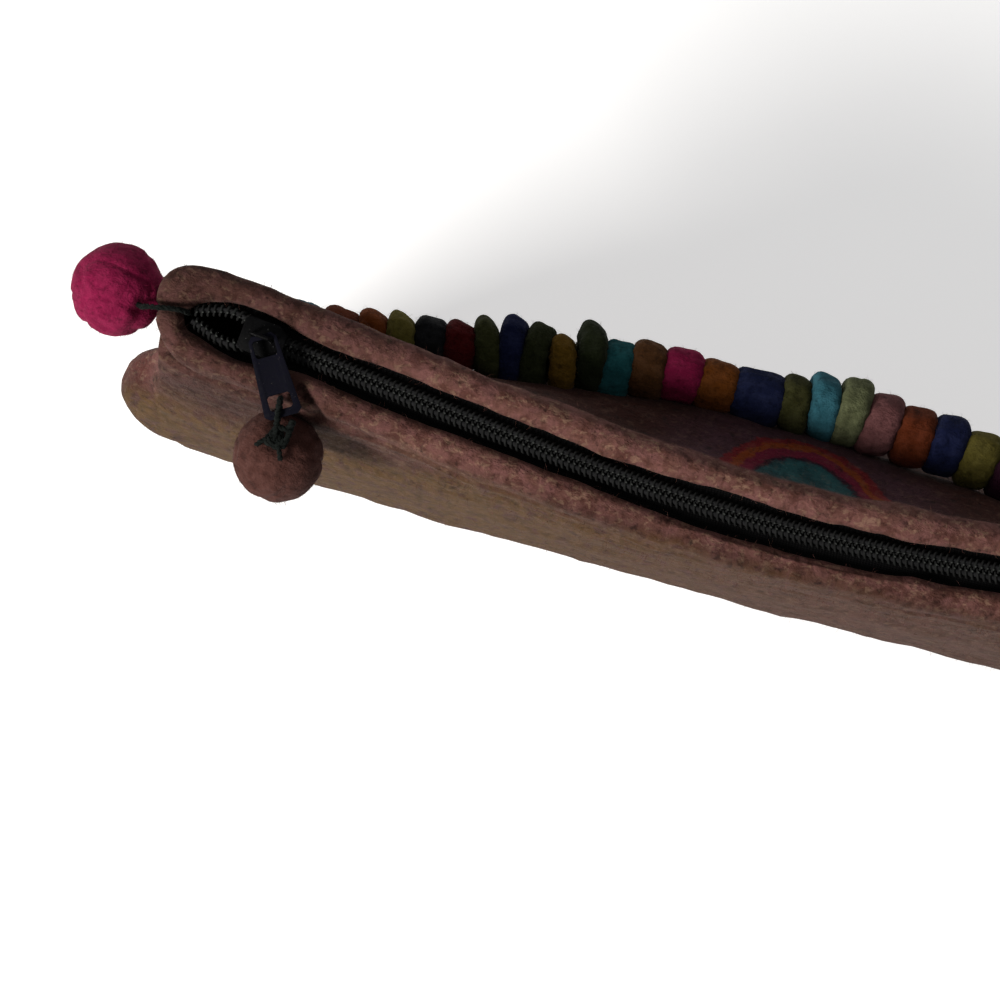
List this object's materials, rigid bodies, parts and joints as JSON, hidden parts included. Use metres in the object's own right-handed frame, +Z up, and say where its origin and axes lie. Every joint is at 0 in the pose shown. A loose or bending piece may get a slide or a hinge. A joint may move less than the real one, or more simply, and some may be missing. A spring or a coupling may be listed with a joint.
{
  "type": "felt handbag",
  "caption": "Soft felt handbag with a zip along its rolled top, a zip pull with a felt ball, and a strung handle of felt beads hanging beside it.",
  "frame": {"origin": "under the middle of the whole object, on the surface that the bag stands on", "axes": "+X along the zip towards the end away from the pull, +Y towards the front with the ring motif and the handle, +Z up"},
  "size_m": [0.3666, 0.0702, 0.2036],
  "materials": {
    "bag_felt": "dense hand-felted wool, mauve brown with tan patches and a ring motif, matt with short fuzz",
    "zip_tape": "black woven zip tape",
    "zip_coil": "black nylon coil with thread stitched through it",
    "slider_metal": "black lacquered die casting, bare at the bridge",
    "tab_metal": "dark navy lacquer, worn bright at its edges",
    "thread": "dark grey-green wool thread, fuzzy",
    "ball_felt": "rose-brown felt ball, softly wrinkled",
    "felt_rose": "rose wool felt, matt and a little fuzzy",
    "felt_slate": "slate wool felt, matt and a little fuzzy",
    "felt_plum": "plum wool felt, matt and a little fuzzy",
    "felt_moss": "moss wool felt, matt and a little fuzzy",
    "felt_sky": "sky wool felt, matt and a little fuzzy",
    "felt_rust": "rust wool felt, matt and a little fuzzy",
    "felt_orange": "orange wool felt, matt and a little fuzzy",
    "felt_straw": "straw wool felt, matt and a little fuzzy",
    "felt_charcoal": "charcoal wool felt, matt and a little fuzzy",
    "felt_dark_red": "dark red wool felt, matt and a little fuzzy",
    "felt_olive": "olive wool felt, matt and a little fuzzy",
    "felt_navy": "navy wool felt, matt and a little fuzzy",
    "felt_dark_olive": "dark olive wool felt, matt and a little fuzzy",
    "felt_mustard": "mustard wool felt, matt and a little fuzzy",
    "felt_forest": "forest wool felt, matt and a little fuzzy",
    "felt_teal": "teal wool felt, matt and a little fuzzy",
    "felt_ochre": "ochre wool felt, matt and a little fuzzy",
    "felt_magenta": "magenta wool felt, matt and a little fuzzy",
    "felt_tan_orange": "tan orange wool felt, matt and a little fuzzy",
    "felt_indigo": "indigo wool felt, matt and a little fuzzy",
    "felt_leaf": "leaf wool felt, matt and a little fuzzy",
    "felt_turquoise": "turquoise wool felt, matt and a little fuzzy",
    "felt_sage": "sage wool felt, matt and a little fuzzy",
    "felt_pink": "pink wool felt, matt and a little fuzzy"
  },
  "bodies": {
    "bag": {"felt_bag": "bag_felt", "zip_tape_front": "zip_tape", "zip_tape_back": "zip_tape", "zip_coil_front": "zip_coil", "zip_coil_back": "zip_coil", "zip_slider": "slider_metal", "end_ball_left": "felt_magenta", "end_ball_right": "felt_magenta", "handle_thread": "thread", "bead_01_rose": "felt_rose", "bead_02_slate": "felt_slate", "bead_03_plum": "felt_plum", "bead_04_moss": "felt_moss", "bead_05_sky": "felt_sky", "bead_06_rust": "felt_rust", "bead_07_orange": "felt_orange", "bead_08_straw": "felt_straw", "bead_09_charcoal": "felt_charcoal", "bead_10_dark_red": "felt_dark_red", "bead_11_olive": "felt_olive", "bead_12_navy": "felt_navy", "bead_13_dark_olive": "felt_dark_olive", "bead_14_mustard": "felt_mustard", "bead_15_forest": "felt_forest", "bead_16_teal": "felt_teal", "bead_17_ochre": "felt_ochre", "bead_18_magenta": "felt_magenta", "bead_19_tan_orange": "felt_tan_orange", "bead_20_indigo": "felt_indigo", "bead_21_leaf": "felt_leaf", "bead_22_turquoise": "felt_turquoise", "bead_23_sage": "felt_sage", "bead_24_pink": "felt_pink", "bead_25_rust": "felt_rust", "bead_26_navy": "felt_navy", "bead_27_straw": "felt_straw", "bead_28_plum": "felt_plum", "bead_29_teal": "felt_teal", "bead_30_mustard": "felt_mustard", "bead_31_slate": "felt_slate", "bead_32_orange": "felt_orange", "bead_33_moss": "felt_moss", "bead_34_dark_red": "felt_dark_red", "bead_35_turquoise": "felt_turquoise", "bead_36_ochre": "felt_ochre", "bead_37_magenta": "felt_magenta", "bead_38_indigo": "felt_indigo", "bead_39_sky": "felt_sky", "bead_40_tan_orange": "felt_tan_orange"},
    "pull": {"pull_tab": "tab_metal", "pull_tie": "thread", "pull_ball": "ball_felt"}
  },
  "joints": [
    {"name": "pull_swing", "type": "hinge", "parent": "bag", "child": "pull", "pos_m": [-0.1329, 0.00239, 0.2013], "axis": [-0.8572, -0.515, 0], "range_deg": [0, 110]}
  ]
}
